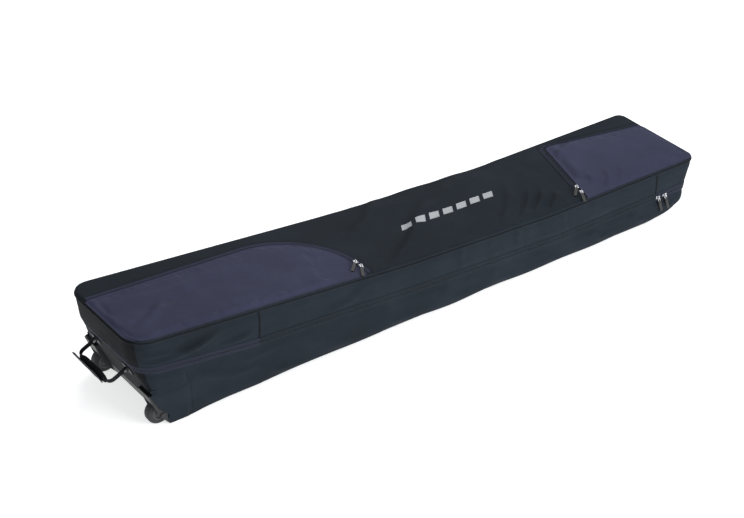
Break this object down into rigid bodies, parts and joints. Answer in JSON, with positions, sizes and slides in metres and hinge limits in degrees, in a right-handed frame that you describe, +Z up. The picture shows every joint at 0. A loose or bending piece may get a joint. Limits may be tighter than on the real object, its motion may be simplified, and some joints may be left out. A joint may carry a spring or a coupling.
{
  "type": "snowboard bag",
  "caption": "Long wheeled padded snowboard bag with a zipped clamshell lid, two zipped lid pockets, end wheels in moulded housings and a padded end handle.",
  "frame": {"origin": "centre of the whole object's footprint, at floor level", "axes": "+X from the wheel end to the far end, -Y the zipped front side, +Y the hinge side, +Z up"},
  "size_m": [1.9409, 0.3438, 0.278],
  "materials": {
    "shell_fabric": "coated slate-grey weave, matt",
    "pocket_fabric": "coated grey-violet weave, matt",
    "zip_tape": "woven tape",
    "zip_coil": "moulded coil",
    "webbing": "woven webbing",
    "grip_fabric": "padded sleeve",
    "piping": "corded edge",
    "moulding": "lightly grained",
    "rivet_metal": "satin",
    "wheel_tread": "matt",
    "wheel_core": "smooth moulded",
    "bush": "plain",
    "slider_metal": "nickel plated",
    "pull_rubber": "matt moulded",
    "board": "sheet",
    "foam": "fabric-faced foam"
  },
  "bodies": {
    "tub": {"tub_shell": "shell_fabric", "base_board": "board", "base_foam": "foam", "main_zip_lower": "zip_tape", "hinge_tape_lower": "webbing", "wheel_housing_front": "moulding", "wheel_housing_back": "moulding", "axle_front": "rivet_metal", "axle_back": "rivet_metal", "housing_rivets": "rivet_metal", "base_guard": "moulding", "handle_anchors": "moulding", "handle_rivets": "rivet_metal", "tie_straps": "webbing", "tie_buckles": "moulding"},
    "lid": {"lid_shell": "shell_fabric", "main_zip_upper": "zip_tape", "hinge_tape_upper": "webbing", "lid_piping": "piping", "near_pocket_panel": "pocket_fabric", "near_zip_tape": "zip_tape", "near_zip_coil": "zip_coil", "far_pocket_panel": "pocket_fabric", "far_zip_tape": "zip_tape", "far_zip_coil": "zip_coil"},
    "near_flap": {"near_pocket_flap": "pocket_fabric"},
    "far_flap": {"far_pocket_flap": "pocket_fabric"},
    "wheel_front": {"wheel_front_tyre": "wheel_tread", "wheel_front_hub": "wheel_core", "wheel_front_bush": "bush"},
    "wheel_back": {"wheel_back_tyre": "wheel_tread", "wheel_back_hub": "wheel_core", "wheel_back_bush": "bush"},
    "handle": {"handle_strap": "webbing", "handle_grip": "grip_fabric", "handle_cuff": "grip_fabric"},
    "main_near_runner": {"main_near_slider": "slider_metal"},
    "main_near_puller": {"main_near_pull_ring": "slider_metal", "main_near_pull_grip": "pull_rubber"},
    "main_far_runner": {"main_far_slider": "slider_metal"},
    "main_far_puller": {"main_far_pull_ring": "slider_metal", "main_far_pull_grip": "pull_rubber"},
    "near_upper_runner": {"near_upper_slider": "slider_metal"},
    "near_upper_puller": {"near_upper_pull_ring": "slider_metal", "near_upper_pull_grip": "pull_rubber"},
    "near_lower_runner": {"near_lower_slider": "slider_metal"},
    "near_lower_puller": {"near_lower_pull_ring": "slider_metal", "near_lower_pull_grip": "pull_rubber"},
    "far_upper_runner": {"far_upper_slider": "slider_metal"},
    "far_upper_puller": {"far_upper_pull_ring": "slider_metal", "far_upper_pull_grip": "pull_rubber"},
    "far_lower_runner": {"far_lower_slider": "slider_metal"},
    "far_lower_puller": {"far_lower_pull_ring": "slider_metal", "far_lower_pull_grip": "pull_rubber"}
  },
  "joints": [
    {"name": "lid_hinge", "type": "hinge", "parent": "tub", "child": "lid", "pos_m": [0.0165, 0.167, 0.13657], "axis": [-0.9989, 0, 0.0459], "range_deg": [0, 175]},
    {"name": "near_flap_fold", "type": "hinge", "parent": "lid", "child": "near_flap", "pos_m": [-0.42945, 0.0215, 0.23389], "axis": [0.9232, -0.3756, -0.0816], "range_deg": [0, 140]},
    {"name": "far_flap_fold", "type": "hinge", "parent": "lid", "child": "far_flap", "pos_m": [0.6565, 0.04, 0.18236], "axis": [0.7448, 0.6673, 0.004], "range_deg": [0, 140]},
    {"name": "wheel_front_spin", "type": "hinge", "parent": "tub", "child": "wheel_front", "pos_m": [-0.8555, -0.138, 0.034], "axis": [0, 1, 0], "continuous": true},
    {"name": "wheel_back_spin", "type": "hinge", "parent": "tub", "child": "wheel_back", "pos_m": [-0.8555, 0.138, 0.034], "axis": [0, 1, 0], "continuous": true},
    {"name": "handle_swing", "type": "hinge", "parent": "tub", "child": "handle", "pos_m": [-0.90838, 0, 0.14625], "axis": [0, 1, 0], "range_deg": [-60, 60]},
    {"name": "main_near_travel", "type": "slide", "parent": "tub", "child": "main_near_runner", "axis": [-0.9988, 0, 0.0482], "range_m": [0, 1.6379]},
    {"name": "main_far_travel", "type": "slide", "parent": "tub", "child": "main_far_runner", "axis": [0.9999, 0, 0.0164], "range_m": [0, 0.045]},
    {"name": "near_upper_travel", "type": "hinge", "parent": "lid", "child": "near_upper_runner", "pos_m": [-0.42945, -0.11042, 0.23389], "axis": [0.088, 0, 0.9961], "range_deg": [0, 75]},
    {"name": "near_lower_travel", "type": "slide", "parent": "lid", "child": "near_lower_runner", "axis": [0, -1, 0], "range_m": [0, 0.018]},
    {"name": "far_upper_travel", "type": "slide", "parent": "lid", "child": "far_upper_runner", "axis": [0.2838, 0.9589, 0.0015], "range_m": [0, 0.2]},
    {"name": "far_lower_travel", "type": "slide", "parent": "lid", "child": "far_lower_runner", "axis": [-0.2838, -0.9589, -0.0015], "range_m": [0, 0.012]},
    {"name": "main_near_swing", "type": "hinge", "parent": "main_near_runner", "child": "main_near_puller", "pos_m": [0.8175, -0.1735, 0.09313], "axis": [-0.9459, 0, -0.3246], "range_deg": [0, 160]},
    {"name": "main_far_swing", "type": "hinge", "parent": "main_far_runner", "child": "main_far_puller", "pos_m": [0.8435, -0.1735, 0.09356], "axis": [-0.9459, 0, -0.3246], "range_deg": [0, 160]},
    {"name": "near_upper_swing", "type": "hinge", "parent": "near_upper_runner", "child": "near_upper_puller", "pos_m": [-0.21405, -0.09836, 0.22138], "axis": [-0.7044, 0.7071, 0.0623], "range_deg": [0, 160]},
    {"name": "near_lower_swing", "type": "hinge", "parent": "near_lower_runner", "child": "near_lower_puller", "pos_m": [-0.21371, -0.123, 0.22135], "axis": [-0.8627, 0.5, 0.0762], "range_deg": [0, 160]},
    {"name": "far_upper_swing", "type": "hinge", "parent": "far_upper_runner", "child": "far_upper_puller", "pos_m": [0.55874, -0.1, 0.18834], "axis": [-0.7071, 0.7071, -0.0038], "range_deg": [0, 160]},
    {"name": "far_lower_swing", "type": "hinge", "parent": "far_lower_runner", "child": "far_lower_puller", "pos_m": [0.54986, -0.13, 0.18829], "axis": [-0.866, 0.5, -0.0046], "range_deg": [0, 160]}
  ]
}
